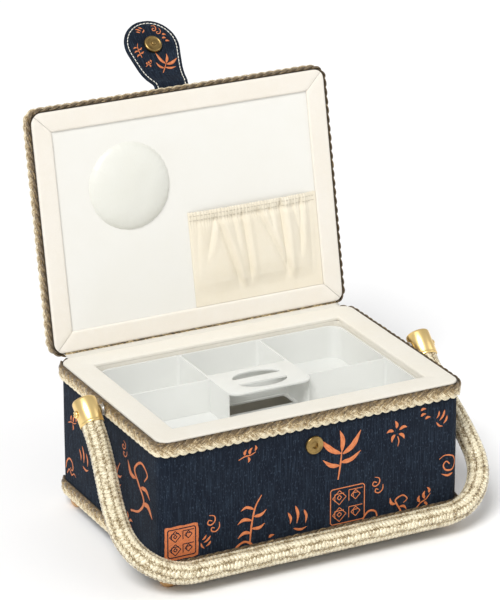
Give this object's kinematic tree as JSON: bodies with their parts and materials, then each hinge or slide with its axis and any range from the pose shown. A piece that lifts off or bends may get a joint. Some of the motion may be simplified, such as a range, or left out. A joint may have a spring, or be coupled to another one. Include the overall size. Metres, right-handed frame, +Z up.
{
  "type": "sewing box",
  "caption": "Cloth-covered sewing box on wooden feet, with a lined hinged lid, a lift-out divided tray, a snap tab and a swinging braided handle.",
  "frame": {"origin": "on the table under the feet, at the middle of the space the whole box fills with its lid open", "axes": "+X to the right, +Y from the front to the hinge at the back, +Z up"},
  "size_m": [0.339, 0.3296, 0.3678],
  "materials": {
    "grey_board": "matt board",
    "printed_cloth": "navy cotton with an orange print",
    "plaited_trim": "glossy gold and cream yarn",
    "cream_cotton": "plain cotton",
    "satin": "soft satin",
    "pocket_cloth": "thin crepe",
    "foam": "soft wadding",
    "pine": "plain sawn pine",
    "zinc_steel": "zinc plated",
    "varnished_wood": "orange varnish",
    "antique_brass": "antique, satin",
    "pivot_brass": "satin",
    "gold_ferrule": "polished gold",
    "handle_braid": "glossy gold and cream yarn",
    "handle_core": "plain",
    "tray_plastic": "milky, translucent, satin"
  },
  "bodies": {
    "body": {"wall_board": "grey_board", "bottom_board": "grey_board", "inner_board": "grey_board", "lining_cloth": "cream_cotton", "floor_pad": "satin", "rim_rail": "pine", "rim_pad": "cream_cotton", "outer_cloth": "printed_cloth", "base_cloth": "printed_cloth", "top_braid": "plaited_trim", "bottom_braid": "plaited_trim", "ledge_left": "cream_cotton", "ledge_right": "cream_cotton", "hinge_cloth": "printed_cloth", "foot_front_left": "varnished_wood", "foot_front_right": "varnished_wood", "foot_back_left": "varnished_wood", "foot_back_right": "varnished_wood", "foot_screw_front_left": "zinc_steel", "foot_screw_front_right": "zinc_steel", "foot_screw_back_left": "zinc_steel", "foot_screw_back_right": "zinc_steel", "snap_socket": "antique_brass", "socket_washer": "zinc_steel", "pivot_screw_left": "pivot_brass", "pivot_screw_right": "pivot_brass", "pivot_spacer_left": "pivot_brass", "pivot_spacer_right": "pivot_brass"},
    "lid": {"lining_panel": "satin", "lid_board": "grey_board", "lid_pad": "foam", "lid_cloth": "printed_cloth", "lid_braid": "plaited_trim", "frame_right": "cream_cotton", "frame_left": "cream_cotton", "frame_hinge": "cream_cotton", "frame_front": "cream_cotton", "pincushion_base": "grey_board", "pincushion": "satin", "pocket_cloth": "pocket_cloth", "pocket_elastic": "pocket_cloth", "tab_anchor": "printed_cloth"},
    "tab_root": {"tab_root": "printed_cloth"},
    "tab_tip": {"tab_tip": "printed_cloth", "snap_stud": "antique_brass"},
    "handle": {"handle_cord": "handle_braid", "handle_core": "handle_core", "ferrule_left": "gold_ferrule", "ferrule_right": "gold_ferrule"},
    "tray": {"tray": "tray_plastic"}
  },
  "joints": [
    {"name": "lid_hinge", "type": "hinge", "parent": "body", "child": "lid", "pos_m": [0, 0.0543, 0.1292], "axis": [-1, 0, 0], "range_deg": [-101.3, 0]},
    {"name": "tab_fold", "type": "hinge", "parent": "lid", "child": "tab_root", "pos_m": [0, 0.10947, 0.32774], "axis": [1, 0, 0], "range_deg": [0, 153.7]},
    {"name": "tab_flex", "type": "hinge", "parent": "tab_root", "child": "tab_tip", "pos_m": [0, 0.12686, 0.3324], "axis": [1, 0, 0], "range_deg": [-36, 19]},
    {"name": "handle_swing", "type": "hinge", "parent": "body", "child": "handle", "pos_m": [0, -0.0472, 0.1215], "axis": [-1, 0, 0], "range_deg": [0, 165]},
    {"name": "tray_lift", "type": "slide", "parent": "body", "child": "tray", "axis": [0, 0, 1], "range_m": [0, 0.06]}
  ]
}
